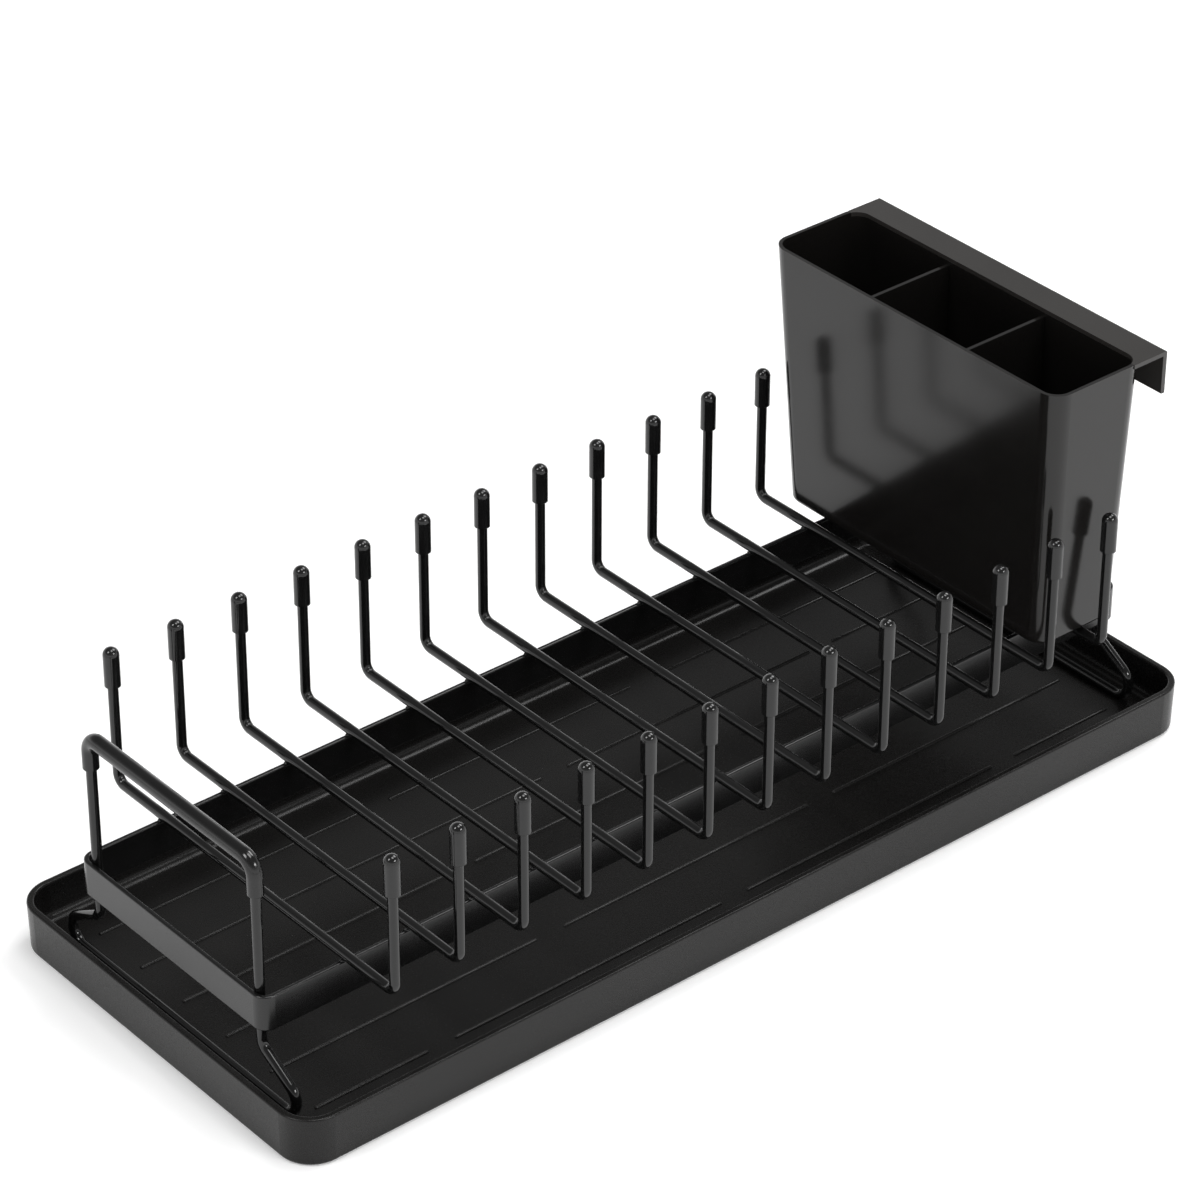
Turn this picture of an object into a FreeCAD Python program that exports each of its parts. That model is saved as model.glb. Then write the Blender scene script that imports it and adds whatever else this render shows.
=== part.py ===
import FreeCAD, Part
import math
import os

os.makedirs("parts", exist_ok=True)
V = FreeCAD.Vector

# ------------------------------------------------------------------
# Dish drying rack: a drip tray, a wire plate rack standing in it and
# a cutlery holder standing on the rack.  Millimetres, +Z up.
# Origin: centre of the tray's underside.  +X runs along the tray to the
# cutlery holder's end, +Y to the rear row of tines.
# ------------------------------------------------------------------

# drip tray
TRAY_L = 517.2          # outer length at the rim
TRAY_W = 211.4          # outer width at the rim
TRAY_H = 24.3
TRAY_DRAFT = 0.6        # how much each wall leans in at the foot
TRAY_WALL = 3.4
TRAY_CORNER = 17.0
TRAY_FOOT_R = 1.6       # rounding of the lower outer edge
TRAY_RIM_R = 0.9
TRAY_FLOOR = 5.8        # height of the floor's upper face
TRAY_POCKET = 2.6       # recess under the floor
RIB_R = 1.0             # drainage ridge: a capsule sunk in the floor
RIB_H = 0.85            # how far it stands proud
RIB_ROW = 31.3          # spacing of the ridge rows
RIB_END = 232.4         # half length of a row

# wire rack
WIRE_D = 4.8
WIRE_R = WIRE_D / 2.0
PITCH = 34.0            # spacing of the plate wires
N_WIRE = 13
POST_Y = 98.25          # tines stand at +-POST_Y
TINE_BEND = 5.0         # bend radius on the wire's axis
BAND_L = 496.2          # flat band under the wires, outer
BAND_W = 132.4
BAND_T = 2.4
BAND_BOT = 44.8
BAND_TOP = 62.3
BAND_CORNER = 6.6
CROSS_Z = BAND_TOP + WIRE_R - 0.3    # plate wires are welded 0.3 deep
TINE_END = 131.1        # bare end of each tine, inside its cap

# silicone caps on the tines
CAP_R = 3.7
CAP_BOT = 114.6
CAP_TOP = 134.2

# end loops: foot bar, splayed legs, posts and top bar in one closed wire
LOOP_X = 243.4
LOOP_POST_Y = 58.25
LOOP_TOP = 126.3
LOOP_TOP_R = 7.0
LOOP_LEG_ANGLE = 30.0   # degrees below the horizontal
LOOP_LEG_R = 6.0
LOOP_FOOT_Y = 73.5      # centre of the hairpin bend at each foot
LOOP_FOOT_R = 7.5
LOOP_FOOT_Z = TRAY_FLOOR + WIRE_R + 0.2
SLEEVE_R = 3.7
SLEEVE_BOT = 110.5

# cutlery holder
HOLD_BOT = CROSS_Z + WIRE_R + 0.3
HOLD_TOP = 204.0
HOLD_X0, HOLD_X1 = 175.6, 224.6      # at the bottom; the hook side stands upright
HOLD_XT0, HOLD_XT1 = 168.5, 224.4    # at the top
HOLD_Y, HOLD_YT = 86.8, 94.0
HOLD_CORNER = 9.6
HOLD_WALL = 1.8
HOLD_FLOOR = 2.2
DIVIDER_T = 1.8
DIVIDER_DROP = 4.0
DIVIDER_Y = 31.3        # two dividers, at +-DIVIDER_Y
HOOK_X = 238.0          # outer face of the hook's lip
HOOK_T = 2.1
HOOK_LIP_T = 2.3
HOOK_DROP = 21.5


def rrect(x0, x1, y0, y1, r, z):
    """Closed rounded-rectangle wire at height z."""
    k = r * (1.0 - math.sqrt(0.5))
    p = [V(x0 + r, y0, z), V(x1 - r, y0, z), V(x1, y0 + r, z), V(x1, y1 - r, z),
         V(x1 - r, y1, z), V(x0 + r, y1, z), V(x0, y1 - r, z), V(x0, y0 + r, z)]
    m = [V(x1 - k, y0 + k, z), V(x1 - k, y1 - k, z), V(x0 + k, y1 - k, z), V(x0 + k, y0 + k, z)]
    e = [Part.LineSegment(p[0], p[1]).toShape(), Part.Arc(p[1], m[0], p[2]).toShape(),
         Part.LineSegment(p[2], p[3]).toShape(), Part.Arc(p[3], m[1], p[4]).toShape(),
         Part.LineSegment(p[4], p[5]).toShape(), Part.Arc(p[5], m[2], p[6]).toShape(),
         Part.LineSegment(p[6], p[7]).toShape(), Part.Arc(p[7], m[3], p[0]).toShape()]
    return Part.Wire(e)


def loft(a, b):
    return Part.makeLoft([a, b], True, True)


def fillet_at(shape, r, test):
    """Round the edges whose ends and middle all pass the test."""
    edges = []
    for e in shape.Edges:
        if e.Length < 1e-6:
            continue
        pts = [e.valueAt(e.FirstParameter + (e.LastParameter - e.FirstParameter) * t) for t in (0.0, 0.5, 1.0)]
        if all(test(q) for q in pts):
            edges.append(e)
    if not edges:
        raise RuntimeError("no edges to round")
    return shape.makeFillet(r, edges)


def bent(points, radii, closed=False):
    """Lines and tangent arcs through the corner points."""
    n = len(points)
    seq = range(n) if closed else range(1, n - 1)
    cut = {}
    for i in seq:
        a, b, c = points[(i - 1) % n], points[i], points[(i + 1) % n]
        u = (a - b).normalize()
        w = (c - b).normalize()
        half = math.acos(max(-1.0, min(1.0, u.dot(w)))) / 2.0
        r = radii[i]
        t = r / math.tan(half)
        mid = (u + w).normalize() * (r / math.sin(half) - r)
        cut[i] = (b + u * t, b + mid, b + w * t)
    edges = []
    last = n if closed else n - 1
    for i in range(last):
        j = (i + 1) % n
        s = cut[i][2] if i in cut else points[i]
        e = cut[j][0] if j in cut else points[j]
        if (e - s).Length > 1e-6:
            edges.append(Part.LineSegment(s, e).toShape())
        if j in cut:
            edges.append(Part.Arc(cut[j][0], cut[j][1], cut[j][2]).toShape())
    return Part.Wire(edges)


def tube(path, r, name):
    """Round bar along a path of lines and arcs."""
    e = path.Edges[0]
    p = e.valueAt(e.FirstParameter)
    d = e.tangentAt(e.FirstParameter)
    prof = Part.Wire([Part.makeCircle(r, p, d)])
    s = path.makePipeShell([prof], True, False)
    if s.ShapeType != "Solid":
        s = Part.Solid(s) if s.ShapeType == "Shell" else s.Solids[0]
    if s.Volume < 0:
        s.reverse()
    want = math.pi * r * r * path.Length
    if abs(s.Volume - want) > 0.002 * want or not s.isValid():
        raise RuntimeError("%s: volume %.1f, expected %.1f, valid %s" % (name, s.Volume, want, s.isValid()))
    return s


def save(shape, name):
    solids = shape.Solids
    if not solids:
        raise RuntimeError("no solid in " + name)
    out = solids[0] if len(solids) == 1 else Part.makeCompound(solids)
    if not out.isValid():
        raise RuntimeError("invalid " + name)
    out.exportStep("parts/%s.step" % name)
    bb = out.BoundBox
    print("%-22s solids %d  vol %10.1f  x %8.2f %8.2f  y %8.2f %8.2f  z %7.2f %7.2f" % (
        name, len(solids), out.Volume, bb.XMin, bb.XMax, bb.YMin, bb.YMax, bb.ZMin, bb.ZMax))


# ---------------- drip tray ----------------
hx, hy = TRAY_L / 2.0, TRAY_W / 2.0
d = TRAY_DRAFT
outer = loft(rrect(-hx + d, hx - d, -hy + d, hy - d, TRAY_CORNER - d, 0.0),
             rrect(-hx, hx, -hy, hy, TRAY_CORNER, TRAY_H))
outer = fillet_at(outer, TRAY_FOOT_R, lambda q: abs(q.z) < 1e-6)
w = TRAY_WALL
di = d * (1.0 - TRAY_FLOOR / TRAY_H)
cav = loft(rrect(-hx + w + di, hx - w - di, -hy + w + di, hy - w - di, TRAY_CORNER - w, TRAY_FLOOR),
           rrect(-hx + w, hx - w, -hy + w, hy - w, TRAY_CORNER - w, TRAY_H + 0.0))
cav = fillet_at(cav, 4.6, lambda q: abs(q.z - TRAY_FLOOR) < 1e-6)
tray = outer.cut(cav)
tray = fillet_at(tray, TRAY_RIM_R, lambda q: abs(q.z - TRAY_H) < 1e-6)
# recesses under the floor leave a ring and two cross lands to stand on
px, py, land = hx - 14.0, hy - 14.0, 12.0
third = (2 * px - 2 * land) / 3.0
for i in range(3):
    x0 = -px + i * (third + land)
    pocket = rrect(x0, x0 + third, -py, py, 8.0, -1.0)
    tray = tray.cut(Part.Face(pocket).extrude(V(0, 0, TRAY_POCKET + 1.0)))
# staggered drainage ridges
row_a = [(-RIB_END, -172.1), (-157.9, -7.4), (7.4, 157.9), (172.1, RIB_END)]
row_b = [(-RIB_END, -87.2), (-72.2, 72.2), (87.2, RIB_END)]
ribs = []
for k in range(6):
    y = (k - 2.5) * RIB_ROW
    for a, b in (row_a if k % 2 == 0 else row_b):
        zc = TRAY_FLOOR + RIB_H - RIB_R
        cyl = Part.makeCylinder(RIB_R, (b - a) - 2 * RIB_R, V(a + RIB_R, y, zc), V(1, 0, 0))
        cap = [Part.makeSphere(RIB_R, V(x, y, zc)) for x in (a + RIB_R, b - RIB_R)]
        capsule = cyl.fuse(cap)
        above = Part.makeBox((b - a) + 4, 4 * RIB_R, 4 * RIB_R, V(a - 2, y - 2 * RIB_R, TRAY_FLOOR - 0.6))
        ribs.append(capsule.common(above))
tray = tray.fuse(ribs)
tray = tray.removeSplitter()
save(tray, "drip_tray")

# ---------------- flat band ----------------
bx, by, t = BAND_L / 2.0, BAND_W / 2.0, BAND_T
ring = Part.Face(rrect(-bx, bx, -by, by, BAND_CORNER, BAND_BOT)).extrude(V(0, 0, BAND_TOP - BAND_BOT))
hole = Part.Face(rrect(-bx + t, bx - t, -by + t, by - t, BAND_CORNER - t, BAND_BOT - 1)).extrude(V(0, 0, BAND_TOP - BAND_BOT + 2))
band = ring.cut(hole)
band = fillet_at(band, 0.8, lambda q: abs(q.z - BAND_TOP) < 1e-6 or abs(q.z - BAND_BOT) < 1e-6)
save(band, "frame_band")

# ---------------- plate wires and caps ----------------
for i in range(1, N_WIRE + 1):
    x = (i - (N_WIRE + 1) / 2.0) * PITCH
    path = bent([V(x, -POST_Y, TINE_END), V(x, -POST_Y, CROSS_Z), V(x, POST_Y, CROSS_Z), V(x, POST_Y, TINE_END)],
                {1: TINE_BEND, 2: TINE_BEND})
    save(tube(path, WIRE_R, "tine wire"), "tine_wire_%02d" % i)
    for side, y in (("front", -POST_Y), ("rear", POST_Y)):
        zc = CAP_TOP - CAP_R
        prof = Part.Wire([
            Part.LineSegment(V(WIRE_R, 0, CAP_BOT), V(CAP_R - 0.35, 0, CAP_BOT)).toShape(),
            Part.LineSegment(V(CAP_R - 0.35, 0, CAP_BOT), V(CAP_R, 0, CAP_BOT + 0.35)).toShape(),
            Part.LineSegment(V(CAP_R, 0, CAP_BOT + 0.35), V(CAP_R, 0, zc)).toShape(),
            Part.Arc(V(CAP_R, 0, zc), V(CAP_R * math.sqrt(0.5), 0, zc + CAP_R * math.sqrt(0.5)), V(0, 0, CAP_TOP)).toShape(),
            Part.LineSegment(V(0, 0, CAP_TOP), V(0, 0, TINE_END + 0.2)).toShape(),
            Part.LineSegment(V(0, 0, TINE_END + 0.2), V(WIRE_R, 0, TINE_END + 0.2)).toShape(),
            Part.LineSegment(V(WIRE_R, 0, TINE_END + 0.2), V(WIRE_R, 0, CAP_BOT)).toShape()])
        cap = Part.Face(prof).revolve(V(0, 0, 0), V(0, 0, 1), 360)
        cap.translate(V(x, y, 0))
        save(cap, "tine_cap_%s_%02d" % (side, i))

# ---------------- end loops and their sleeves ----------------
al = math.radians(LOOP_LEG_ANGLE)
fz = LOOP_FOOT_Z + LOOP_FOOT_R
ty = LOOP_FOOT_Y + LOOP_FOOT_R * math.sin(al)
tz = fz + LOOP_FOOT_R * math.cos(al)
knee = tz + (ty - LOOP_POST_Y) * math.tan(al)
# the leg's line and the foot bar's line meet far outside the hairpin bend
my = ty + (tz - LOOP_FOOT_Z) / math.tan(al)
for side, sx in (("left", -1.0), ("right", 1.0)):
    x = sx * LOOP_X
    pts = [V(x, 0, LOOP_FOOT_Z),
           V(x, -my, LOOP_FOOT_Z), V(x, -LOOP_POST_Y, knee), V(x, -LOOP_POST_Y, LOOP_TOP),
           V(x, LOOP_POST_Y, LOOP_TOP), V(x, LOOP_POST_Y, knee), V(x, my, LOOP_FOOT_Z),
           V(x, 0.0, LOOP_FOOT_Z)]
    rad = {1: LOOP_FOOT_R, 2: LOOP_LEG_R, 3: LOOP_TOP_R, 4: LOOP_TOP_R, 5: LOOP_LEG_R, 6: LOOP_FOOT_R}
    loop = tube(bent(pts, rad), WIRE_R, "end loop")
    save(loop, "end_loop_%s" % side)
    path = bent([V(x, -LOOP_POST_Y, SLEEVE_BOT), V(x, -LOOP_POST_Y, LOOP_TOP),
                 V(x, LOOP_POST_Y, LOOP_TOP), V(x, LOOP_POST_Y, SLEEVE_BOT)], {1: LOOP_TOP_R, 2: LOOP_TOP_R})
    skin = tube(path, SLEEVE_R, "sleeve")
    path = bent([V(x, -LOOP_POST_Y, SLEEVE_BOT - 2), V(x, -LOOP_POST_Y, LOOP_TOP),
                 V(x, LOOP_POST_Y, LOOP_TOP), V(x, LOOP_POST_Y, SLEEVE_BOT - 2)], {1: LOOP_TOP_R, 2: LOOP_TOP_R})
    core = tube(path, WIRE_R, "sleeve bore")
    sleeve = skin.cut(core)
    sleeve = fillet_at(sleeve, 0.35, lambda q: abs(q.z - SLEEVE_BOT) < 1e-6 and
                       abs(math.hypot(q.x - x, abs(q.y) - LOOP_POST_Y) - SLEEVE_R) < 1e-3)
    save(sleeve, "handle_sleeve_%s" % side)

# ---------------- cutlery holder ----------------
hold_out = loft(rrect(HOLD_X0, HOLD_X1, -HOLD_Y, HOLD_Y, HOLD_CORNER, HOLD_BOT),
                rrect(HOLD_XT0, HOLD_XT1, -HOLD_YT, HOLD_YT, HOLD_CORNER, HOLD_TOP))
cw = HOLD_WALL
f = (HOLD_FLOOR) / (HOLD_TOP - HOLD_BOT)
cx0 = HOLD_X0 + (HOLD_XT0 - HOLD_X0) * f + cw
cx1 = HOLD_X1 + (HOLD_XT1 - HOLD_X1) * f - cw
cy = HOLD_Y + (HOLD_YT - HOLD_Y) * f - cw
hold_cav = loft(rrect(cx0, cx1, -cy, cy, HOLD_CORNER - cw, HOLD_BOT + HOLD_FLOOR),
                rrect(HOLD_XT0 + cw, HOLD_XT1 - cw, -HOLD_YT + cw, HOLD_YT - cw, HOLD_CORNER - cw, HOLD_TOP))
body = fillet_at(hold_out, 2.6, lambda q: abs(q.z - HOLD_BOT) < 1e-6)
cav_r = fillet_at(hold_cav, 1.6, lambda q: abs(q.z - HOLD_BOT - HOLD_FLOOR) < 1e-6)
body = body.cut(cav_r)
# drain slots through the floor
xm = (HOLD_X0 + HOLD_X1) / 2.0
for k in range(-5, 6):
    if k == 0:
        continue
    y = k * 14.0
    s = rrect(xm - 12.0, xm + 12.0, y - 1.75, y + 1.75, 1.74, HOLD_BOT - 1)
    body = body.cut(Part.Face(s).extrude(V(0, 0, HOLD_FLOOR + 2)))
# hook: flat top plate flush with the rim, and a lip that hangs from it
hx0 = HOLD_XT1 - 7.0
plate = Part.makeBox(HOOK_X - hx0, 2 * HOLD_YT, HOOK_T, V(hx0, -HOLD_YT, HOLD_TOP - HOOK_T))
lip = Part.makeBox(HOOK_LIP_T, 2 * HOLD_YT, HOOK_DROP, V(HOOK_X - HOOK_LIP_T, -HOLD_YT, HOLD_TOP - HOOK_DROP))
hook = plate.fuse(lip).removeSplitter()
hook = fillet_at(hook, 0.7, lambda q: abs(q.x - HOOK_X) < 1e-6 and abs(q.z - HOLD_TOP) < 1e-6)
hook = fillet_at(hook, 0.5, lambda q: abs(q.z - HOLD_TOP + HOOK_DROP) < 1e-6 and abs(q.y) < HOLD_YT + 1 and
                 (abs(q.x - HOOK_X) < 1e-6 or abs(q.x - HOOK_X + HOOK_LIP_T) < 1e-6))
for y in (-84.0, 84.0):
    g = Part.Face(Part.makePolygon([V(HOLD_XT1 - 4, y - 0.9, HOLD_TOP - 1), V(HOLD_XT1 + 5, y - 0.9, HOLD_TOP - 1),
                                    V(HOLD_XT1 + 5, y - 0.9, HOLD_TOP - 2.2), V(HOLD_XT1 - 0.4, y - 0.9, HOLD_TOP - 11.0),
                                    V(HOLD_XT1 - 4, y - 0.9, HOLD_TOP - 11.0), V(HOLD_XT1 - 4, y - 0.9, HOLD_TOP - 1)]))
    g = g.extrude(V(0, 1.8, 0))
    low = Part.makeBox(40, 400, HOLD_TOP - HOOK_T, V(HOLD_XT1 - 20, -200, 0))
    g = g.common(low).cut(hold_out)
    hook = hook.fuse(g)
hook = hook.cut(hold_cav).removeSplitter()
body = body.cut(hook)
save(body, "cutlery_holder_body")
save(hook, "holder_hook")
for tag, y in (("front", -DIVIDER_Y), ("rear", DIVIDER_Y)):
    div = Part.makeBox(80, DIVIDER_T, HOLD_TOP - HOLD_BOT - DIVIDER_DROP, V(HOLD_XT0 - 10, y - DIVIDER_T / 2, HOLD_BOT))
    div = div.common(cav_r)
    save(div, "holder_divider_" + tag)
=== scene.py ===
import bpy
import bmesh
import math
from mathutils import Matrix, Vector


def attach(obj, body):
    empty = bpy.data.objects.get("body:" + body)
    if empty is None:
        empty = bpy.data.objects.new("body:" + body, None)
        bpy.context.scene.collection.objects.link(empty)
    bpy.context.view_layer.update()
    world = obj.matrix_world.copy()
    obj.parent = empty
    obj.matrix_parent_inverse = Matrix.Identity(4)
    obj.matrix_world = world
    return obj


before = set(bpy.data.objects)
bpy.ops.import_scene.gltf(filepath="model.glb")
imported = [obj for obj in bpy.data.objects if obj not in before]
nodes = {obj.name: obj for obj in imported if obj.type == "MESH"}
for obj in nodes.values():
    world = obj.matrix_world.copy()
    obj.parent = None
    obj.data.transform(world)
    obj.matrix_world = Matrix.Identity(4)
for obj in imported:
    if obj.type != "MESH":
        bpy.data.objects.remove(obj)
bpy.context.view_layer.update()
N_WIRE = 13


# ------------------------------------------------------------------ camera
def make_camera():
    az, el, roll = math.radians(-40.0464), math.radians(32.808), math.radians(0.2066)
    back = Vector((math.sin(az) * math.cos(el), -math.cos(az) * math.cos(el), math.sin(el)))
    right = (-back).cross(Vector((0, 0, 1))).normalized()
    up = right.cross(-back)
    r2 = right * math.cos(roll) + up * math.sin(roll)
    u2 = up * math.cos(roll) - right * math.sin(roll)
    cam = bpy.data.cameras.new("camera")
    cam.sensor_width = 36.0
    cam.lens = 4726.12 * 36.0 / 1200.0
    cam.clip_end = 50.0
    ob = bpy.data.objects.new("camera", cam)
    bpy.context.collection.objects.link(ob)
    m = Matrix((r2, u2, back)).transposed().to_4x4()
    m.translation = Vector((-1.13181, -1.33179, 1.24989))
    ob.matrix_world = m
    bpy.context.scene.camera = ob


make_camera()


# --------------------------------------------------------------- materials
def new_mat(name):
    m = bpy.data.materials.new(name)
    m.use_nodes = True
    nt = m.node_tree
    nt.nodes.clear()
    out = nt.nodes.new("ShaderNodeOutputMaterial")
    bsdf = nt.nodes.new("ShaderNodeBsdfPrincipled")
    nt.links.new(bsdf.outputs["BSDF"], out.inputs["Surface"])
    return m, nt, bsdf


def node(nt, kind, **kw):
    n = nt.nodes.new(kind)
    for k, v in kw.items():
        setattr(n, k, v)
    return n


def noise(nt, coord, scale, detail=3.0, rough=0.55, distort=0.0):
    n = node(nt, "ShaderNodeTexNoise")
    n.inputs["Scale"].default_value = scale
    n.inputs["Detail"].default_value = detail
    n.inputs["Roughness"].default_value = rough
    n.inputs["Distortion"].default_value = distort
    nt.links.new(coord, n.inputs["Vector"])
    return n.outputs["Fac"]


def ramp(nt, fac, stops):
    n = node(nt, "ShaderNodeValToRGB")
    els = n.color_ramp.elements
    while len(els) < len(stops):
        els.new(0.5)
    for e, (p, c) in zip(els, stops):
        e.position = p
        e.color = (c[0], c[1], c[2], 1.0) if isinstance(c, (tuple, list)) else (c, c, c, 1.0)
    nt.links.new(fac, n.inputs["Fac"])
    return n.outputs["Color"]


def remap(nt, fac, a, b, lo=0.3, hi=0.7):
    n = node(nt, "ShaderNodeMapRange")
    n.inputs["From Min"].default_value = lo
    n.inputs["From Max"].default_value = hi
    n.inputs["To Min"].default_value = a
    n.inputs["To Max"].default_value = b
    nt.links.new(fac, n.inputs["Value"])
    return n.outputs["Result"]


def math_node(nt, op, a, b):
    n = node(nt, "ShaderNodeMath", operation=op)
    for i, v in enumerate((a, b)):
        if isinstance(v, (int, float)):
            n.inputs[i].default_value = v
        else:
            nt.links.new(v, n.inputs[i])
    return n.outputs[0]


def bump(nt, bsdf, height, strength, distance):
    n = node(nt, "ShaderNodeBump")
    n.inputs["Strength"].default_value = strength
    n.inputs["Distance"].default_value = distance
    nt.links.new(height, n.inputs["Height"])
    nt.links.new(n.outputs["Normal"], bsdf.inputs["Normal"])


def coords(nt):
    return node(nt, "ShaderNodeTexCoord").outputs["Object"]


def powder_coat(name, base, rough, spec, coat=0.0, coat_rough=0.1, grain=900.0, grain_h=0.000008, tint=(1, 1, 1)):
    """Satin powder coat over steel: a very fine orange peel, and a slow
    drift in tone and gloss."""
    m, nt, b = new_mat(name)
    c = coords(nt)
    slow = noise(nt, c, 14.0, 3.0)
    fine = noise(nt, c, grain, 2.0, 0.5)
    lo = tuple(base * 0.82 * t for t in tint)
    hi = tuple(base * 1.18 * t for t in tint)
    nt.links.new(ramp(nt, slow, [(0.3, lo), (0.7, hi)]), b.inputs["Base Color"])
    r = math_node(nt, "ADD", remap(nt, slow, rough - 0.03, rough + 0.03), remap(nt, fine, -0.015, 0.015))
    nt.links.new(r, b.inputs["Roughness"])
    b.inputs["Specular IOR Level"].default_value = spec
    b.inputs["Coat Weight"].default_value = coat
    b.inputs["Coat Roughness"].default_value = coat_rough
    peel = noise(nt, c, 420.0, 2.0, 0.4)
    bump(nt, b, math_node(nt, "ADD", math_node(nt, "MULTIPLY", fine, 0.5), peel), 0.3, grain_h)
    return m


def moulded(name, base, rough, spec, grain=1500.0, depth=0.00004, strength=0.5, tint=(1, 1, 1), wear=0.0):
    """Moulded plastic: an even spark-eroded grain and faint flow marks."""
    m, nt, b = new_mat(name)
    c = coords(nt)
    slow = noise(nt, c, 9.0, 4.0, 0.55, 0.4)
    grainy = noise(nt, c, grain, 3.0, 0.6)
    lo = tuple(base * 0.86 * t for t in tint)
    hi = tuple(base * 1.14 * t for t in tint)
    nt.links.new(ramp(nt, slow, [(0.28, lo), (0.72, hi)]), b.inputs["Base Color"])
    r = math_node(nt, "ADD", remap(nt, slow, rough - 0.018, rough + 0.018), remap(nt, grainy, -0.02, 0.02))
    nt.links.new(r, b.inputs["Roughness"])
    b.inputs["Specular IOR Level"].default_value = spec
    bump(nt, b, grainy, strength, depth)
    return m


def silicone(name, base, rough, spec):
    m, nt, b = new_mat(name)
    c = coords(nt)
    slow = noise(nt, c, 60.0, 2.0)
    fine = noise(nt, c, 700.0, 2.0)
    nt.links.new(ramp(nt, slow, [(0.3, (base * 0.8,) * 3), (0.7, (base * 1.2,) * 3)]), b.inputs["Base Color"])
    nt.links.new(remap(nt, slow, rough - 0.03, rough + 0.04), b.inputs["Roughness"])
    b.inputs["Specular IOR Level"].default_value = spec
    bump(nt, b, fine, 0.2, 0.00002)
    return m


mats = {
    "wire": powder_coat("wire_powder_coat", 0.004, 0.10, 0.5, grain=1100.0),
    "band": powder_coat("band_powder_coat", 0.004, 0.19, 0.5, grain=1000.0),
    "cap": silicone("cap_silicone", 0.006, 0.11, 0.5),
    "sleeve": silicone("sleeve_silicone", 0.004, 0.14, 0.5),
    "tray": moulded("tray_moulding", 0.006, 0.27, 0.26, grain=1500.0, depth=0.00001, strength=0.4, tint=(1.05, 1.0, 0.95)),
    "holder": moulded("holder_moulding", 0.006, 0.15, 0.40, grain=1800.0, depth=0.000005, strength=0.3, tint=(1.08, 1.0, 0.93)),
    # The hook is the holder's moulding with a lighter base colour. This is painted light, standing in for the
    # brighter lit top face.
    "hook": moulded("hook_moulding_painted_lit", 0.022, 0.16, 0.5, grain=1800.0, depth=0.000005, strength=0.3, tint=(1.08, 1.0, 0.93)),
}


def dress(name, mat):
    ob = nodes[name]
    if not ob.material_slots:
        ob.data.materials.append(mat)
    for s in ob.material_slots:
        s.material = mat


for n in nodes:
    if n.startswith("tine_wire") or n.startswith("end_loop"):
        dress(n, mats["wire"])
    elif n.startswith("tine_cap"):
        dress(n, mats["cap"])
    elif n.startswith("handle_sleeve"):
        dress(n, mats["sleeve"])
    elif n == "frame_band":
        dress(n, mats["band"])
    elif n == "drip_tray":
        dress(n, mats["tray"])
    elif n == "holder_hook":
        dress(n, mats["hook"])
    else:
        dress(n, mats["holder"])


# ------------------------------------------------------------- weld beads
def make_welds():
    """Small flattened fusion beads where the wires and loops meet the band,
    under the same coating as the wires."""
    spots = []
    for i in range(N_WIRE):
        x = (i - 6) * 34.0
        for y in (-65.0, 65.0):
            for side in (-1, 1):
                spots.append(((x + side * 1.75, y, 62.45), (1.35, 1.15, 0.8)))
    for sx in (-1, 1):
        for sy in (-1, 1):
            for side in (-1, 1):
                spots.append(((sx * 245.3, sy * 58.25 + side * 1.5, 53.5), (0.75, 1.0, 5.2)))
    bm = bmesh.new()
    for k, (c, r) in enumerate(spots):
        made = bmesh.ops.create_icosphere(bm, subdivisions=3, radius=1.0)["verts"]
        for v in made:
            d = v.co.normalized()
            lump = 1.0 + 0.10 * math.sin(3.1 * d.x + 1.7 * k) * math.cos(2.3 * d.y + 0.9 * k) + 0.06 * math.sin(5.0 * d.z + 2.1 * k)
            v.co = Vector(((c[0] + d.x * r[0] * lump) / 1000.0,
                           (c[1] + d.y * r[1] * lump) / 1000.0,
                           (c[2] + d.z * r[2] * lump) / 1000.0))
    for f in bm.faces:
        f.smooth = True
    me = bpy.data.meshes.new("weld_beads")
    bm.to_mesh(me)
    bm.free()
    ob = bpy.data.objects.new("weld_beads", me)
    bpy.context.collection.objects.link(ob)
    me.materials.append(mats["wire"])
    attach(ob, "rack")


make_welds()


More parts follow.
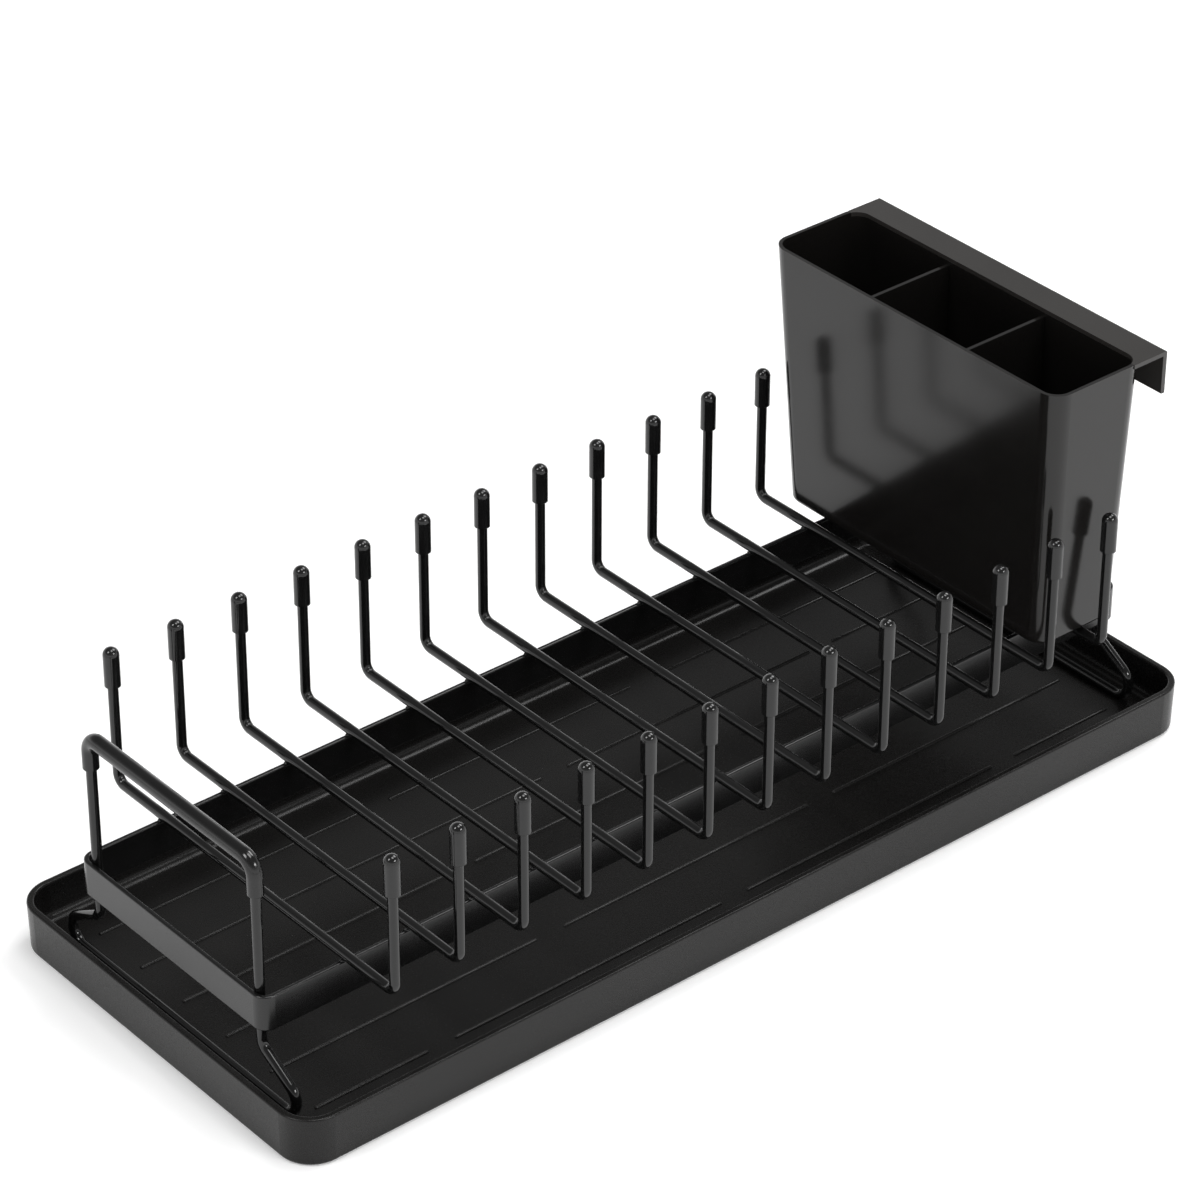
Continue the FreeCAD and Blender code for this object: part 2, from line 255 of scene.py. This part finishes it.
# ------------------------------------------------------- floor and lights
def make_stage():
    bm = bmesh.new()
    bmesh.ops.create_grid(bm, x_segments=1, y_segments=1, size=6.0)
    me = bpy.data.meshes.new("floor")
    bm.to_mesh(me)
    bm.free()
    ob = bpy.data.objects.new("floor", me)
    ob.location = (0, 0, -0.0002)
    bpy.context.collection.objects.link(ob)
    m, nt, b = new_mat("pale_floor")
    b.inputs["Base Color"].default_value = (0.9, 0.9, 0.9, 1)
    b.inputs["Roughness"].default_value = 0.9
    b.inputs["Specular IOR Level"].default_value = 0.1
    b.inputs["Emission Color"].default_value = (1, 1, 1, 1)
    b.inputs["Emission Strength"].default_value = 0.2
    me.materials.append(m)


def area(name, loc, target, size, power, size_y=None, color=(1, 1, 1)):
    l = bpy.data.lights.new(name, "AREA")
    l.energy = power
    l.color = color
    l.shape = "RECTANGLE"
    l.size = size
    l.size_y = size_y or size
    ob = bpy.data.objects.new(name, l)
    bpy.context.collection.objects.link(ob)
    ob.location = loc
    d = Vector(target) - Vector(loc)
    ob.rotation_euler = d.to_track_quat("-Z", "Y").to_euler()
    return ob


make_stage()


def make_world():
    """A soft studio: bright near the floor, dimmer overhead."""
    world = bpy.data.worlds.new("world")
    world.use_nodes = True
    nt = world.node_tree
    bg = nt.nodes["Background"]
    c = node(nt, "ShaderNodeTexCoord").outputs["Generated"]
    sep = node(nt, "ShaderNodeSeparateXYZ")
    nt.links.new(c, sep.inputs[0])
    col = ramp(nt, sep.outputs["Z"], [(0.0, 1.35), (0.2, 1.25), (0.36, 0.6), (0.5, 0.36), (0.62, 0.27), (1.0, 0.27)])
    nt.links.new(col, bg.inputs["Color"])
    bg.inputs["Strength"].default_value = 1.0
    bpy.context.scene.world = world


make_world()
area("key_left", (-1.5, 0.2, 1.9), (-0.05, 0, 0.05), 0.6, 14.0, 0.8)
area("key_front", (0.4, -2.0, 1.6), (0.05, 0, 0.05), 1.0, 18.0, 0.4)
area("top_right", (1.25, 0.15, 1.9), (0, 0, 0.0), 0.9, 18.0, 0.9)
area("overhead", (0.1, -0.3, 2.4), (0, 0, 0.0), 0.9, 16.0, 0.9)
bpy.context.scene.view_settings.view_transform = "Standard"
